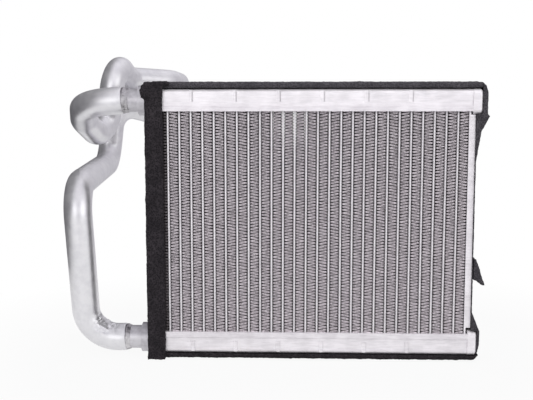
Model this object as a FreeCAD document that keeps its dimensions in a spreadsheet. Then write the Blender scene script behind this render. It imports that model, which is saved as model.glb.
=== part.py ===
import FreeCAD, Part

import math
import os

import Sketcher
from FreeCAD import Placement, Rotation, Vector

# Heater core with two bent aluminium pipes and a foam seal round its edge.
# Frame: +X to the right of the core's face, +Y to the back, +Z up, in millimetres.
# The origin is the middle of the bottom seal's underside, half way through the core's depth.

# Driving sizes, each written once. The first word is the name that the whole model uses.
SIZES = [
    ("tube_count", 26, "flat tubes side by side"),
    ("tube_pitch", 7.75, "distance from tube to tube"),
    ("tube_thick", 1.4, "thickness of a flat tube"),
    ("tube_nose", 0.45, "bevel along a tube's front and back edge"),
    ("tube_reach", 2.0, "how far a tube stands into its tank"),
    ("core_deep", 25.0, "depth of tubes and fins"),
    ("core_high", 150.5, "height between the two header plates"),
    ("fin_fold", 6.3, "height of one full fold of a fin strip"),
    ("fin_thick", 0.35, "thickness of a fin strip"),
    ("plate_thick", 1.2, "sheet thickness of a side plate"),
    ("plate_flange", 4.3, "width of a side plate's flanges"),
    ("plate_gap", 2.0, "gap from a flange's end to the end cap"),
    ("header_thick", 1.5, "thickness of a header plate"),
    ("header_rim", 3.7, "height of a header plate's rims"),
    ("rim_thick", 0.9, "thickness of a header plate's rims"),
    ("slot_gap", 0.05, "clearance of a tube in its slot"),
    ("tank_high", 15.0, "height of a tank with its header plate"),
    ("tank_room", 0.1, "clear gap from a tube's edge to the tank cover"),
    ("tank_wall", 1.0, "wall of a tank cover"),
    ("tank_round", 3.0, "outer corner radius of a tank cover"),
    ("dimple_count", 6, "pressed dimples along a tank"),
    ("dimple_pitch", 29.3, "distance from dimple to dimple"),
    ("dimple_shift", -7.9, "middle of the dimple row from the core's middle"),
    ("dimple_radius", 2.6, "radius of a dimple"),
    ("dimple_depth", 0.7, "depth of a dimple"),
    ("dimple_high", 8.7, "height of a dimple"),
    ("cap_long", 6.2, "length of an end cap"),
    ("cap_wall", 1.5, "wall of an end cap"),
    ("cap_drop", 2.0, "how far a cap reaches past its header plate"),
    ("cap_round", 3.5, "corner radius of an end cap"),
    ("cap_edge", 1.8, "corner radius round a cap's end face"),
    ("spigot_od", 12.4, "diameter of a neck's spigot in its end cap"),
    ("neck_od", 16.0, "outer diameter of a pipe neck"),
    ("neck_long", 16.8, "length of a neck from its cap to the pipe's end"),
    ("collar_od", 20.4, "diameter of the collar on a neck"),
    ("collar_long", 5.5, "length of that collar"),
    ("socket_deep", 5.0, "how far a neck reaches into its pipe"),
    ("neck_gap", 0.05, "clearance round a neck"),
    ("pipe_od", 19.0, "outer diameter of both pipes"),
    ("pipe_wall", 1.2, "wall of both pipes"),
    ("pipe_bore_deep", 24.0, "depth of the open bore at a pipe's far end"),
    ("bend_radius", 20.0, "centre line radius of a pipe bend"),
    ("pipe_gap", 6.0, "gap between the upper pipe's loop and the lower pipe's riser behind it"),
    ("pipe_reach", 205.0, "how far back the pipe ends stand"),
    ("seal_base", 4.2, "thickness of the bottom foam strip"),
    ("seal_top", 5.0, "thickness of the top foam strip"),
    ("seal_flap", 13.3, "width of the foam on the core's left front and back edge"),
    ("seal_flap_thick", 2.5, "thickness of that foam"),
    ("seal_right", 0.6, "thickness of the right foam beside the side plate"),
    ("seal_corner", 3.4, "thickness of the right foam beside an end cap"),
    ("seal_taper", 33.0, "height below the top tank over which the right foam tapers"),
    ("seal_tip", 1.3, "how far the right foam's torn tip stands out below the top tank"),
    ("seal_round", 3.0, "corner radius of the foam strips"),
    ("patch_long", 18.5, "height of the loose foam patch"),
    ("patch_wide", 12.0, "width of the loose foam patch"),
    ("patch_thick", 3.0, "thickness of the loose foam patch at its lower end"),
    ("patch_tilt", 25.0, "degrees that the patch leans outwards"),
    ("patch_height", 52.5, "height of the patch's lower end"),
]

doc = FreeCAD.newDocument("HeaterCore")
sheet = doc.addObject("Spreadsheet::Sheet", "Sizes")
for row, (alias, number, note) in enumerate(SIZES, start=1):
    sheet.set(f"A{row}", alias)
    sheet.set(f"B{row}", str(number))
    sheet.set(f"C{row}", note)
    sheet.setAlias(f"B{row}", alias)
doc.recompute()

subparts = []


def size(alias):
    """The number in the cell with this alias."""
    return float(sheet.get(alias))


# Places that several pieces share, worked out from the driving sizes.
FIN_WIDE = "(Sizes.tube_pitch - Sizes.tube_thick)"
PLATE_INNER = f"((Sizes.tube_count - 1) / 2 * Sizes.tube_pitch + Sizes.tube_thick / 2 + {FIN_WIDE})"
PLATE_OUTER = f"({PLATE_INNER} + Sizes.plate_flange)"
TANK_END = f"({PLATE_OUTER} - Sizes.plate_gap)"
CAP_OUTER = f"({TANK_END} + Sizes.cap_long)"
CORE_BOTTOM = "(Sizes.seal_base + Sizes.tank_high)"
CORE_TOP = f"({CORE_BOTTOM} + Sizes.core_high)"
TANK_TOP = f"({CORE_TOP} + Sizes.tank_high)"
COVER_HALF = "(Sizes.core_deep / 2 + Sizes.tank_room + Sizes.tank_wall)"
TANK_HALF = f"({COVER_HALF} + Sizes.rim_thick)"

fin_wide = size("tube_pitch") - size("tube_thick")
plate_inner = (size("tube_count") - 1) / 2 * size("tube_pitch") + size("tube_thick") / 2 + fin_wide
plate_outer = plate_inner + size("plate_flange")
tank_end = plate_outer - size("plate_gap")
cap_outer = tank_end + size("cap_long")
core_bottom = size("seal_base") + size("tank_high")
core_top = core_bottom + size("core_high")
tank_top = core_top + size("tank_high")
neck_low = size("seal_base") + size("tank_high") / 2
neck_high = core_top + size("tank_high") / 2


def keep(shape_object, name):
    """Name a finished sub-part and put it on the list to check and write."""
    shape_object.Label = name
    subparts.append(shape_object)
    return shape_object


def bind(target, **expressions):
    """Tie properties to the sheet, with a dot in a property's path written as two underscores."""
    for path, text in expressions.items():
        target.setExpression(path.replace("__", "."), text)


def plane(body, role):
    """One of a body's own origin planes or axes."""
    return next(item for item in body.Origin.OriginFeatures if item.Role == role)


def sketch_on(body, role, name):
    """An empty sketch on one of the body's origin planes."""
    sketch = body.newObject("Sketcher::SketchObject", name)
    sketch.AttachmentSupport = (plane(body, role), [""])
    sketch.MapMode = "FlatFace"
    return sketch


def outline(sketch, corners):
    """A closed outline of straight lines, each corner a pair of expressions."""
    count = len(corners)
    for index in range(count):
        start = Vector(index, index * index, 0)
        end = Vector(index + 1, (index + 1) ** 2, 0)
        sketch.addGeometry(Part.LineSegment(start, end), False)
    for index in range(count):
        sketch.addConstraint(Sketcher.Constraint("Coincident", index, 2, (index + 1) % count, 1))
    for index, pair in enumerate(corners):
        for kind, text in zip(("DistanceX", "DistanceY"), pair):
            number = sketch.addConstraint(Sketcher.Constraint(kind, index, 1, 1.0))
            sketch.setExpression(f"Constraints[{number}]", text)


def pad(body, sketch, name, length, midplane=False):
    """A pad of the sketch, as long as the expression says."""
    feature = body.newObject("PartDesign::Pad", name)
    feature.Profile = sketch
    feature.Midplane = midplane
    feature.setExpression("Length", length)
    return feature


def edge_names(shape, test):
    """Names of the shape's edges that pass the test."""
    return [f"Edge{number}" for number, edge in enumerate(shape.Edges, start=1) if test(edge)]


def round_edges(body, base, name, test, radius):
    """Fillet the edges of the last feature that pass the test."""
    doc.recompute()
    feature = body.newObject("PartDesign::Fillet", name)
    feature.Base = (base, edge_names(base.Shape, test))
    feature.setExpression("Radius", radius)
    return feature


def lies_along(edge, axis):
    """True for a straight edge parallel to the axis."""
    run = edge.Vertexes[-1].Point - edge.Vertexes[0].Point
    return run.Length > 1e-6 and run.cross(axis).Length < 1e-6


def make_tubes():
    """The flat tubes, one bevelled strip each, standing in both header plates."""
    half_thick = "Sizes.tube_thick / 2"
    half_deep = "Sizes.core_deep / 2"
    flank = "(Sizes.tube_thick / 2 - Sizes.tube_nose)"
    shoulder = "(Sizes.core_deep / 2 - Sizes.tube_nose)"
    section = doc.addObject("Sketcher::SketchObject", "TubeSection")
    outline(section, [
        (half_thick, f"-{shoulder}"),
        (half_thick, shoulder),
        (flank, half_deep),
        (f"-{flank}", half_deep),
        (f"-{half_thick}", shoulder),
        (f"-{half_thick}", f"-{shoulder}"),
        (f"-{flank}", f"-{half_deep}"),
        (flank, f"-{half_deep}"),
    ])
    for number in range(1, int(size("tube_count")) + 1):
        tube = doc.addObject("Part::Extrusion", f"Tube{number:02d}")
        tube.Base = section
        tube.DirMode = "Custom"
        tube.Dir = Vector(0, 0, 1)
        tube.Solid = True
        bind(
            tube,
            LengthFwd="Sizes.core_high + 2 * (Sizes.header_thick + Sizes.tube_reach)",
            Placement__Base__x=f"({number} - (Sizes.tube_count + 1) / 2) * Sizes.tube_pitch",
            Placement__Base__z=f"{CORE_BOTTOM} - Sizes.header_thick - Sizes.tube_reach",
        )
        keep(tube, f"flat_tube_{number:02d}")


def fin_strip(left):
    """One folded strip, brazed crest to crest between two tubes, with its left edge at this X."""
    deep = size("core_deep")
    folds = max(1, round(size("core_high") / size("fin_fold")))
    rise = size("core_high") / (2 * folds)
    width = size("fin_thick") * math.hypot(rise, fin_wide) / rise
    near_side = []
    far_side = []
    for turn in range(2 * folds + 1):
        across = left + (fin_wide - width if turn % 2 else 0.0)
        height = core_bottom + turn * rise
        near_side.append(Vector(across, -deep / 2, height))
        far_side.append(Vector(across + width, -deep / 2, height))
    wire = Part.makePolygon(near_side + far_side[::-1] + near_side[:1])
    return Part.Face(wire).extrude(Vector(0, deep, 0))


def make_fins():
    """The folded fin strips, two neighbouring columns to a node."""
    count = int(size("tube_count")) + 1
    first_left = -plate_inner
    for number in range(1, count + 1, 2):
        pair = [n for n in (number, number + 1) if n <= count]
        strips = [fin_strip(first_left + (n - 1) * size("tube_pitch")) for n in pair]
        fins = doc.addObject("Part::Feature", f"Fins{number:02d}")
        fins.Shape = Part.makeCompound(strips) if len(strips) > 1 else strips[0]
        keep(fins, "fin_strips_" + "_".join(f"{n:02d}" for n in pair))


def make_side_plate(side, name):
    """A channel of sheet beside the last fins, web to the fins and flanges outwards."""
    sign = "" if side > 0 else "-"
    body = doc.addObject("PartDesign::Body", name)
    web_outer = f"({PLATE_INNER} + Sizes.plate_thick)"
    half_deep = "Sizes.core_deep / 2"
    inside = "(Sizes.core_deep / 2 - Sizes.plate_thick)"
    sketch = sketch_on(body, "XY_Plane", name + "Section")
    outline(sketch, [
        (f"{sign}{PLATE_INNER}", f"-{half_deep}"),
        (f"{sign}{PLATE_OUTER}", f"-{half_deep}"),
        (f"{sign}{PLATE_OUTER}", f"-{inside}"),
        (f"{sign}{web_outer}", f"-{inside}"),
        (f"{sign}{web_outer}", inside),
        (f"{sign}{PLATE_OUTER}", inside),
        (f"{sign}{PLATE_OUTER}", half_deep),
        (f"{sign}{PLATE_INNER}", half_deep),
    ])
    bind(sketch, AttachmentOffset__Base__z=CORE_BOTTOM)
    channel = pad(body, sketch, name + "Channel", "Sizes.core_high")
    ends = body.newObject("Sketcher::SketchObject", name + "Ends")
    ends.AttachmentSupport = (plane(body, "XZ_Plane"), [""])
    ends.MapMode = "FlatFace"
    notch = "(Sizes.cap_drop + Sizes.plate_gap)"
    beyond = f"({PLATE_OUTER} + Sizes.plate_flange)"
    for base, step in ((CORE_BOTTOM, "+"), (CORE_TOP, "-")):
        add_box(ends, f"{sign}{web_outer}", f"{sign}{beyond}", base, f"({base} {step} {notch})")
    cut = body.newObject("PartDesign::Pocket", name + "Notches")
    cut.Profile = ends
    cut.Type = "ThroughAll"
    cut.Midplane = True
    doc.recompute()
    if cut.Shape.Volume >= channel.Shape.Volume:
        raise RuntimeError(f"{name}: the notches cut nothing")
    keep(body, name)


def add_box(sketch, left, right, low, high):
    """A rectangle in a sketch, its four sides given by expressions."""
    first = sketch.GeometryCount
    points = [Vector(first + x, first + y, 0) for x, y in ((0, 0), (1, 0), (1, 1), (0, 1))]
    for index in range(4):
        sketch.addGeometry(Part.LineSegment(points[index], points[(index + 1) % 4]), False)
    for index in range(4):
        sketch.addConstraint(Sketcher.Constraint("Coincident", first + index, 2, first + (index + 1) % 4, 1))
    for index, kind in enumerate(("Horizontal", "Vertical", "Horizontal", "Vertical")):
        sketch.addConstraint(Sketcher.Constraint(kind, first + index))
    for corner, pair in ((0, (left, low)), (2, (right, high))):
        for kind, text in zip(("DistanceX", "DistanceY"), pair):
            number = sketch.addConstraint(Sketcher.Constraint(kind, first + corner, 1, 1.0))
            sketch.setExpression(f"Constraints[{number}]", text)


def make_header(side, name):
    """A header plate: a shallow tray with a slot for each tube, its rims outside the tank cover."""
    sign, inner = ("+", CORE_TOP) if side > 0 else ("-", CORE_BOTTOM)
    plate_far = f"({inner} {sign} Sizes.header_thick)"
    rim_far = f"({inner} {sign} Sizes.header_rim)"
    half_deep = TANK_HALF
    inside = COVER_HALF
    body = doc.addObject("PartDesign::Body", name)
    sketch = sketch_on(body, "YZ_Plane", name + "Section")
    outline(sketch, [
        (f"-{half_deep}", inner),
        (half_deep, inner),
        (half_deep, rim_far),
        (inside, rim_far),
        (inside, plate_far),
        (f"-{inside}", plate_far),
        (f"-{inside}", rim_far),
        (f"-{half_deep}", rim_far),
    ])
    tray = pad(body, sketch, name + "Tray", f"2 * {TANK_END}", midplane=True)
    slot = sketch_on(body, "XY_Plane", name + "Slot")
    bind(slot, AttachmentOffset__Base__z=inner)
    first_tube = "((1 - Sizes.tube_count) / 2 * Sizes.tube_pitch)"
    wide = "(Sizes.tube_thick / 2 + Sizes.slot_gap)"
    tall = "(Sizes.core_deep / 2 + Sizes.slot_gap)"
    nose_x = "(Sizes.tube_thick / 2 + Sizes.slot_gap - Sizes.tube_nose)"
    nose_y = "(Sizes.core_deep / 2 + Sizes.slot_gap - Sizes.tube_nose)"
    outline(slot, [
        (f"{first_tube} + {wide}", f"-{nose_y}"),
        (f"{first_tube} + {wide}", nose_y),
        (f"{first_tube} + {nose_x}", tall),
        (f"{first_tube} - {nose_x}", tall),
        (f"{first_tube} - {wide}", nose_y),
        (f"{first_tube} - {wide}", f"-{nose_y}"),
        (f"{first_tube} - {nose_x}", f"-{tall}"),
        (f"{first_tube} + {nose_x}", f"-{tall}"),
    ])
    pocket = body.newObject("PartDesign::Pocket", name + "FirstSlot")
    pocket.Profile = slot
    pocket.Type = "ThroughAll"
    pocket.Midplane = True
    doc.recompute()
    if pocket.Shape.Volume >= tray.Shape.Volume:
        raise RuntimeError(f"{name}: the slot cuts nothing")
    row = body.newObject("PartDesign::LinearPattern", name + "Slots")
    row.Originals = [pocket]
    row.Direction = (plane(body, "X_Axis"), [""])
    bind(row, Length="(Sizes.tube_count - 1) * Sizes.tube_pitch", Occurrences="Sizes.tube_count")
    body.Tip = row
    keep(body, name)


def make_cover(side, name):
    """A tank cover: a rounded channel inside the header's rims, with pressed dimples along its edge."""
    sign = "+" if side > 0 else "-"
    inner = CORE_TOP if side > 0 else CORE_BOTTOM
    seat = f"({inner} {sign} Sizes.header_thick)"
    crown = f"({inner} {sign} Sizes.tank_high)"
    under = f"({inner} {sign} (Sizes.tank_high - Sizes.tank_wall))"
    outer = COVER_HALF
    inside = f"({COVER_HALF} - Sizes.tank_wall)"
    body = doc.addObject("PartDesign::Body", name)
    sketch = sketch_on(body, "YZ_Plane", name + "Section")
    outline(sketch, [
        (f"-{outer}", seat),
        (f"-{outer}", crown),
        (outer, crown),
        (outer, seat),
        (inside, seat),
        (inside, under),
        (f"-{inside}", under),
        (f"-{inside}", seat),
    ])
    channel = pad(body, sketch, name + "Channel", f"2 * {TANK_END}", midplane=True)
    edge_height = tank_top if side > 0 else size("seal_base")

    def is_outer_corner(edge):
        middle = edge.CenterOfMass
        return lies_along(edge, Vector(1, 0, 0)) and abs(middle.z - edge_height) < 1e-6

    rounded = round_edges(body, channel, name + "Corners", is_outer_corner, "Sizes.tank_round")
    base = rounded
    for face, label in ((-1, "Front"), (1, "Back")):
        base = add_dimples(body, base, name + label, side, face)
    keep(body, name)


def add_dimples(body, base, name, side, face):
    """A row of half-round hollows pressed into one face of a tank cover, from its crown inwards."""
    face_sign = "+" if face > 0 else "-"
    up = "+" if side > 0 else "-"
    inner = CORE_TOP if side > 0 else CORE_BOTTOM
    crown = f"({inner} {up} Sizes.tank_high)"
    first = "(Sizes.dimple_shift - (Sizes.dimple_count - 1) / 2 * Sizes.dimple_pitch)"
    outside = f"({COVER_HALF} + Sizes.dimple_radius - Sizes.dimple_depth)"
    foot = f"{crown} - Sizes.dimple_high" if side > 0 else crown
    rod = body.newObject("PartDesign::SubtractiveCylinder", name + "Hollow")
    bind(
        rod,
        Radius="Sizes.dimple_radius",
        Height="Sizes.dimple_high",
        Placement__Base__x=first,
        Placement__Base__y=f"{face_sign}{outside}",
        Placement__Base__z=foot,
    )
    doc.recompute()
    if not rod.Shape.Volume < base.Shape.Volume:
        raise RuntimeError(f"{name}: the dimple cuts nothing")
    row = body.newObject("PartDesign::LinearPattern", name + "Row")
    row.Originals = [rod]
    row.Direction = (plane(body, "X_Axis"), [""])
    bind(row, Length="(Sizes.dimple_count - 1) * Sizes.dimple_pitch", Occurrences="Sizes.dimple_count")
    body.Tip = row
    return row


def make_cap(side, level, name, bored):
    """An end cap: a shallow pressed cup that closes a tank's end, bored where a pipe neck enters."""
    sign = "" if side > 0 else "-"
    far = CORE_TOP if level > 0 else CORE_BOTTOM
    up, down = ("+", "-") if level > 0 else ("-", "+")
    crown = f"({far} {up} Sizes.tank_high)"
    foot = f"({far} {down} Sizes.cap_drop)"
    half_deep = TANK_HALF
    body = doc.addObject("PartDesign::Body", name)
    sketch = sketch_on(body, "YZ_Plane", name + "Outline")
    outline(sketch, [
        (f"-{half_deep}", foot),
        (half_deep, foot),
        (half_deep, crown),
        (f"-{half_deep}", crown),
    ])
    start = TANK_END if side > 0 else f"(-{CAP_OUTER})"
    bind(sketch, AttachmentOffset__Base__z=start)
    block = pad(body, sketch, name + "Block", "Sizes.cap_long")
    end_place = side * cap_outer

    def is_corner(edge):
        return lies_along(edge, Vector(1, 0, 0))

    def is_end_edge(edge):
        return all(abs(point.Point.x - end_place) < 1e-6 for point in edge.Vertexes)

    corners = round_edges(body, block, name + "Corners", is_corner, "Sizes.cap_round")
    doc.recompute()
    rounded = round_edges(body, corners, name + "EndEdge", is_end_edge, "Sizes.cap_edge")
    doc.recompute()
    hollow = sketch_on(body, "YZ_Plane", name + "Hollow")
    bind(hollow, AttachmentOffset__Base__z=f"{sign}{TANK_END}")
    wall_y = f"({half_deep} - Sizes.cap_wall)"
    outline(hollow, [
        (f"-{wall_y}", f"{foot} {up} Sizes.cap_wall"),
        (wall_y, f"{foot} {up} Sizes.cap_wall"),
        (wall_y, f"{crown} {down} Sizes.cap_wall"),
        (f"-{wall_y}", f"{crown} {down} Sizes.cap_wall"),
    ])
    pocket = body.newObject("PartDesign::Pocket", name + "Cup")
    pocket.Profile = hollow
    pocket.Reversed = side > 0
    bind(pocket, Length="Sizes.cap_long - Sizes.cap_wall")
    doc.recompute()
    if not pocket.Shape.Volume < 0.9 * rounded.Shape.Volume:
        raise RuntimeError(f"{name}: the cup is not hollow")
    if bored:
        add_neck_hole(body, pocket, name, level)
    keep(body, name)


def add_neck_hole(body, base, name, level):
    """The round hole in a left end cap that takes a pipe neck."""
    hole = body.newObject("PartDesign::SubtractiveCylinder", name + "NeckHole")
    middle = f"{CORE_TOP} + Sizes.tank_high / 2" if level > 0 else f"{CORE_BOTTOM} - Sizes.tank_high / 2"
    hole.Placement = Placement(Vector(0, 0, 0), Rotation(Vector(0, 1, 0), -90))
    bind(
        hole,
        Radius="Sizes.spigot_od / 2 + Sizes.neck_gap",
        Height="2 * Sizes.cap_long",
        Placement__Base__x=f"-{TANK_END}",
        Placement__Base__z=middle,
    )
    doc.recompute()
    if not hole.Shape.Volume < base.Shape.Volume:
        raise RuntimeError(f"{name}: the neck hole cuts nothing")


def make_neck(height, name):
    """A neck: a turned plug from a cap's hole into the pipe, with a collar against the cap."""
    body = doc.addObject("PartDesign::Body", name)
    sketch = sketch_on(body, "XZ_Plane", name + "Section")
    inner_end = f"(-{CAP_OUTER} + Sizes.cap_wall)"
    cap_face = f"(-{CAP_OUTER})"
    collar_end = f"(-{CAP_OUTER} - Sizes.collar_long)"
    outer_end = f"(-{CAP_OUTER} - Sizes.neck_long - Sizes.socket_deep)"
    spigot = "Sizes.spigot_od / 2"
    barrel = "Sizes.neck_od / 2"
    collar = "Sizes.collar_od / 2"
    axis = "0 * Sizes.neck_od"
    outline(sketch, [
        (inner_end, axis),
        (outer_end, axis),
        (outer_end, barrel),
        (collar_end, barrel),
        (collar_end, collar),
        (cap_face, collar),
        (cap_face, spigot),
        (inner_end, spigot),
    ])
    turned = body.newObject("PartDesign::Revolution", name + "Turned")
    turned.Profile = sketch
    turned.ReferenceAxis = (sketch, ["H_Axis"])
    turned.Angle = 360
    bind(body, Placement__Base__z=height)
    keep(body, name)


def straight_bar(start, end, diameter):
    """A round bar from start to end."""
    run = end - start
    return Part.makeCylinder(diameter / 2, run.Length, start, run)


def bend_bar(first, heading, centre, turn, diameter):
    """A round bar bent through the turn about a centre, starting at first with this heading."""
    disc = Part.Face(Part.Wire(Part.makeCircle(diameter / 2, first, heading)))
    axis = (first - centre).cross(heading)
    return disc.revolve(centre, axis, math.degrees(turn))


def bent_bar(corners, radii, diameter):
    """A round bar along straight runs through the corners, joined by tangent arcs, and its length."""
    pieces = []
    length = 0.0
    start = corners[0]
    for before, corner, after, radius in zip(corners, corners[1:], corners[2:], radii):
        inward = (before - corner).normalize()
        outward = (after - corner).normalize()
        turn = math.pi - inward.getAngle(outward)
        reach = radius * math.tan(turn / 2)
        first = corner + inward * reach
        bisector = (inward + outward).normalize()
        centre = corner + bisector * (radius / math.cos(turn / 2))
        pieces.append(straight_bar(start, first, diameter))
        pieces.append(bend_bar(first, inward * -1, centre, turn, diameter))
        length += (first - start).Length + radius * turn
        start = corner + outward * reach
    pieces.append(straight_bar(start, corners[-1], diameter))
    length += (corners[-1] - start).Length
    return pieces[0].multiFuse(pieces[1:]), length


def make_pipe(corners, radii, name):
    """A bent pipe, open at its far end, with a socket for its neck at the near end."""
    outer, length = bent_bar(corners, radii, size("pipe_od"))
    expected = math.pi / 4 * size("pipe_od") ** 2 * length
    if len(outer.Solids) != 1 or abs(outer.Volume - expected) > 0.01 * expected:
        raise RuntimeError(f"{name}: the bent bar isn't whole")
    socket_radius = size("neck_od") / 2 + size("neck_gap")
    lead_in = Vector(size("pipe_wall"), 0, 0)
    socket_long = size("pipe_wall") + size("socket_deep")
    socket = Part.makeCylinder(socket_radius, socket_long, corners[0] + lead_in, Vector(-1, 0, 0))
    bore_radius = size("pipe_od") / 2 - size("pipe_wall")
    bore = Part.makeCylinder(bore_radius, size("pipe_bore_deep"), corners[-1], corners[-2] - corners[-1])
    pipe = doc.addObject("Part::Feature", name.title().replace("_", ""))
    pipe.Shape = outer.cut(socket).cut(bore)
    print(f"{name}: centre line {length:.1f} mm")
    return keep(pipe, name)


# Pipe routes: how far a corner lies to the left of the necks' ends, how far ahead of the pipes'
# far ends, and how high above the upper neck.
UPPER_BACK = (40.8, 155.0, -13.7)
UPPER_LOOP = (33.9, 113.0, -32.5)
UPPER_HEAD = (23.4, 121.0, 32.4)
UPPER_TURN = (22.3, 75.0, 20.8)
UPPER_LAST = (-9.7, 47.0, 19.8)

# The lower pipe's riser passes behind the upper pipe's loop, so its corners are placed from the
# loop's depth.
LOWER_STEP = (37.8, 112.0, -49.3)
LOWER_TURN = (33.2, 106.0, 0.4)
LOWER_LAST = (-17.2, 42.0, -14.2)

# Beside the core a corner is placed from its own neck: to the left, to the back, and upwards.
LOWER_FOOT = (27.8, 0.0, -1.2)
LOWER_KNEE = (29.3, -18.0, 107.5)
UPPER_ELBOW = (27.4, 0.0, -2.0)

neck_end = -(cap_outer + size("neck_long"))


def beside_core(place, height):
    """A corner of a pipe's route beside the core, from the height of the pipe's own neck."""
    out, back, up = place
    return Vector(neck_end - out, back, height + up)


def behind_core(place):
    """A corner of a pipe's route in the stretch that runs back to the far ends."""
    out, ahead, up = place
    return Vector(neck_end - out, size("pipe_reach") - ahead, neck_high + up)


def make_lower_pipe():
    """The pipe from the bottom tank: out, up beside the core, back, up again and off behind it."""
    radius = size("bend_radius")
    behind_loop = Vector(0, size("pipe_od") + size("pipe_gap"), 0)
    last = behind_core(LOWER_LAST)
    corners = [
        Vector(neck_end, 0, neck_low),
        beside_core(LOWER_FOOT, neck_low),
        beside_core(LOWER_KNEE, neck_low),
        behind_core(LOWER_STEP) + behind_loop,
        behind_core(LOWER_TURN) + behind_loop,
        last,
        Vector(last.x, size("pipe_reach"), last.z),
    ]
    make_pipe(corners, [1.1 * radius, radius, 0.95 * radius, 0.95 * radius, radius], "lower_pipe")


def make_upper_pipe():
    """The pipe from the top tank: out, back and down in a loop, up, and off behind the core."""
    radius = size("bend_radius")
    last = behind_core(UPPER_LAST)
    corners = [
        Vector(neck_end, 0, neck_high),
        beside_core(UPPER_ELBOW, neck_high),
        behind_core(UPPER_BACK),
        behind_core(UPPER_LOOP),
        behind_core(UPPER_HEAD),
        behind_core(UPPER_TURN),
        last,
        Vector(last.x, size("pipe_reach"), last.z),
    ]
    make_pipe(
        corners,
        [1.2 * radius, 1.2 * radius, 0.75 * radius, 0.8 * radius, 0.9 * radius, radius],
        "upper_pipe",
    )


def box_solid(name, x, y, z, long, deep, high):
    """A box whose corner and three sides are expressions."""
    box = doc.addObject("Part::Box", name)
    bind(box, Length=long, Width=deep, Height=high)
    bind(box, Placement__Base__x=x, Placement__Base__y=y, Placement__Base__z=z)
    return box


def make_flat_seal(level, name):
    """The foam strip along the outside of one tank, its outer long edges and right end rounded."""
    near = TANK_TOP if level > 0 else "Sizes.seal_base"
    far = f"({TANK_TOP} + Sizes.seal_top)" if level > 0 else "0 * Sizes.seal_base"
    far_place = tank_top + size("seal_top") if level > 0 else 0.0
    half_deep = TANK_HALF
    body = doc.addObject("PartDesign::Body", name)
    sketch = sketch_on(body, "YZ_Plane", name + "Section")
    outline(sketch, [
        (f"-{half_deep}", near),
        (half_deep, near),
        (half_deep, far),
        (f"-{half_deep}", far),
    ])
    strip = pad(body, sketch, name + "Strip", f"2 * {CAP_OUTER}", midplane=True)

    def is_outer_edge(edge):
        middle = edge.CenterOfMass
        at_right_end = lies_along(edge, Vector(0, 1, 0)) and middle.x > 0
        return (lies_along(edge, Vector(1, 0, 0)) or at_right_end) and abs(middle.z - far_place) < 1e-6

    round_edges(body, strip, name + "Edges", is_outer_edge, "Sizes.seal_round")
    keep(body, name)


def make_left_seal(name):
    """The foam on the left edge: a web beside the side plate, and a flap on the front and the back."""
    half_deep = TANK_HALF
    high = f"{TANK_TOP} + Sizes.seal_top"
    web = box_solid(
        "LeftSealWeb", f"-{CAP_OUTER}", f"-{half_deep}", f"{CORE_BOTTOM} + Sizes.cap_drop",
        f"{CAP_OUTER} - {PLATE_OUTER}", f"2 * {TANK_HALF}", "Sizes.core_high - 2 * Sizes.cap_drop",
    )
    front = box_solid(
        "LeftSealFront", f"-{CAP_OUTER}", f"-{half_deep} - Sizes.seal_flap_thick", "0",
        "Sizes.seal_flap", "Sizes.seal_flap_thick", high,
    )
    back = box_solid("LeftSealBack", f"-{CAP_OUTER}", half_deep, "0", "Sizes.seal_flap", "Sizes.seal_flap_thick", high)
    seal = doc.addObject("Part::MultiFuse", "LeftSeal")
    seal.Shapes = [web, front, back]
    keep(seal, name)


def make_right_seal(name):
    """The foam on the right edge: thin beside the side plate and thicker round the two end caps."""
    body = doc.addObject("PartDesign::Body", name)
    sketch = sketch_on(body, "XZ_Plane", name + "Outline")
    thin = f"({PLATE_OUTER} + Sizes.seal_right)"
    thick = f"({CAP_OUTER} + Sizes.seal_corner)"
    half_thick = f"({CAP_OUTER} + Sizes.seal_corner / 2)"
    curve = f"({thin} + 0.45 * ({thick} - {thin}))"
    outline(sketch, [
        (CAP_OUTER, "Sizes.seal_base"),
        (half_thick, "Sizes.seal_base + Sizes.tank_high / 2"),
        (half_thick, f"{CORE_BOTTOM} + Sizes.cap_drop"),
        (thin, f"{CORE_BOTTOM} + Sizes.tank_high"),
        (thin, f"{CORE_TOP} - Sizes.seal_taper"),
        (curve, f"{CORE_TOP} - 0.4 * Sizes.seal_taper"),
        (f"{thick} + Sizes.seal_tip", f"{CORE_TOP} - Sizes.cap_drop - Sizes.seal_tip"),
        (thick, f"{CORE_TOP} - Sizes.cap_drop"),
        (thick, f"{TANK_TOP} - Sizes.seal_top / 2"),
        (half_thick, f"{TANK_TOP} + Sizes.seal_top / 2"),
        (CAP_OUTER, f"{TANK_TOP} + Sizes.seal_top / 2"),
        (CAP_OUTER, f"{CORE_TOP} - Sizes.cap_drop"),
        (PLATE_OUTER, f"{CORE_TOP} - Sizes.cap_drop"),
        (PLATE_OUTER, f"{CORE_BOTTOM} + Sizes.cap_drop"),
        (CAP_OUTER, f"{CORE_BOTTOM} + Sizes.cap_drop"),
    ])
    pad(body, sketch, name + "Strip", f"2 * {TANK_HALF}", midplane=True)
    keep(body, name)


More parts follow.
